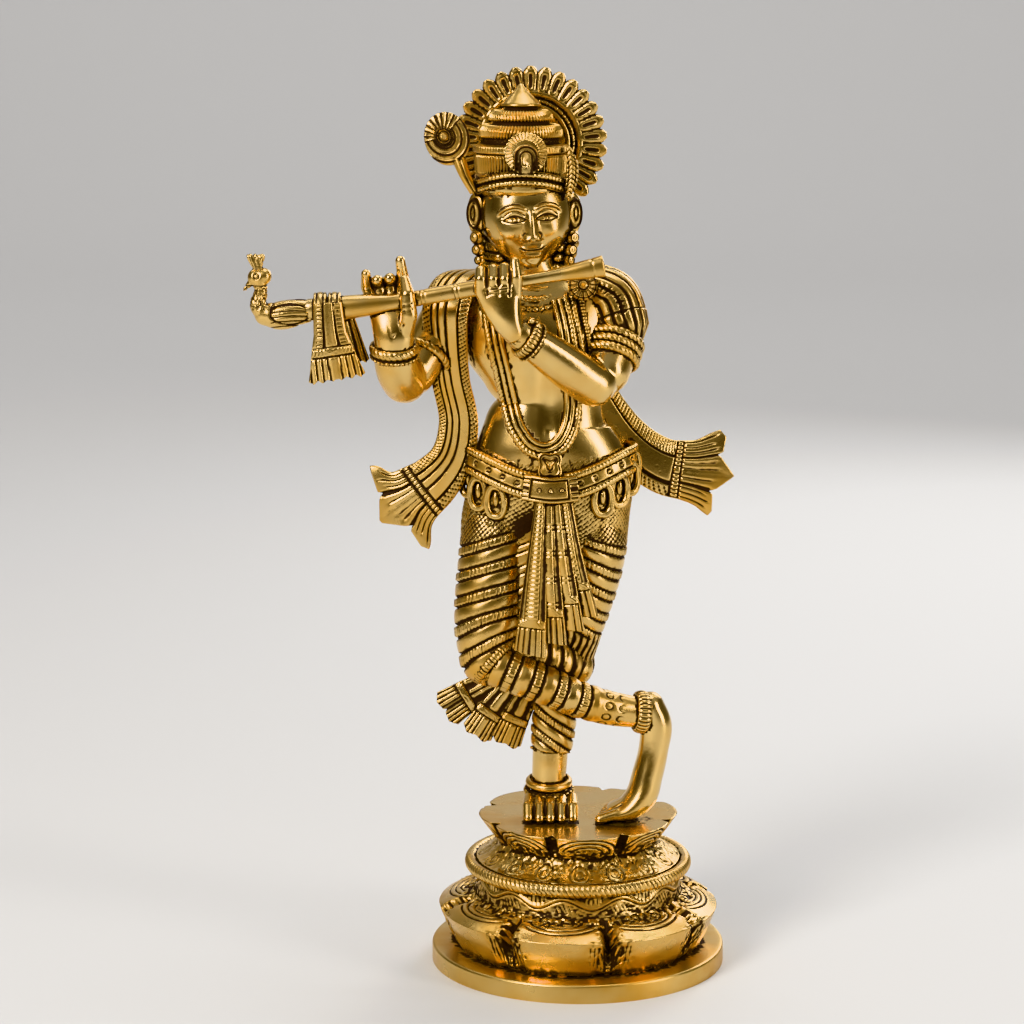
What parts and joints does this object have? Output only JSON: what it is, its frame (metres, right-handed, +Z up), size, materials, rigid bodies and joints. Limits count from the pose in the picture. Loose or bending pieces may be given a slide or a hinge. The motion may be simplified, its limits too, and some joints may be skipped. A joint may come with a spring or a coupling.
{
  "type": "hindu deity statue",
  "caption": "Cast brass statue of a standing flute player with a crown and halo, on a round double lotus pedestal; a free-standing shelf ornament.",
  "frame": {"origin": "centre of the pedestal's underside", "axes": "+Z up, the figure faces -Y, its right side is towards -X"},
  "size_m": [0.1604, 0.099, 0.3002],
  "materials": {
    "brass_polished": "polished smooth areas, such as face, arms, hands and feet",
    "brass_chased": "chased ornament, bright on its ridges with dark patina in its grooves",
    "brass_satin": "turned and brushed disc",
    "brass_rod": "plain drawn rod"
  },
  "bodies": {
    "root": {"base_disc": "brass_satin", "lower_lotus": "brass_chased", "drum": "brass_chased", "rope_ring": "brass_chased", "upper_lotus": "brass_chased", "foot_dowels": "brass_rod", "standing_foot": "brass_polished", "standing_anklet": "brass_chased", "standing_leg": "brass_chased", "crossed_foot": "brass_polished", "crossed_leg": "brass_chased", "crossed_anklet": "brass_chased", "rear_cloth_tail": "brass_chased", "hips": "brass_chased", "torso": "brass_polished", "neck": "brass_polished", "head": "brass_polished", "ears": "brass_chased", "back_hair": "brass_chased", "crown_band": "brass_chased", "crown_tiers": "brass_chased", "crown_finial": "brass_chased", "crown_medallion": "brass_chased", "peacock_feather": "brass_chased", "side_plume": "brass_chased", "halo_plate": "brass_chased", "halo_rope": "brass_chased", "flute": "brass_polished", "flute_peacock": "brass_chased", "flute_cloth": "brass_chased", "right_upper_arm": "brass_polished", "right_forearm": "brass_polished", "right_hand": "brass_polished", "right_bracelet": "brass_chased", "left_upper_arm": "brass_polished", "left_forearm": "brass_polished", "left_armlet": "brass_chased", "left_hand": "brass_polished", "left_bracelet": "brass_chased", "belt": "brass_chased", "belt_buckle": "brass_chased", "belt_pendant": "brass_chased", "belt_loops": "brass_chased", "front_pleats": "brass_chased", "collar_necklace": "brass_chased", "garland": "brass_chased", "scarf_right_end": "brass_chased", "scarf_left_end": "brass_chased", "scarf_back": "brass_chased", "scarf_shoulders": "brass_chased", "shoulder_rosette": "brass_chased"}
  },
  "joints": []
}
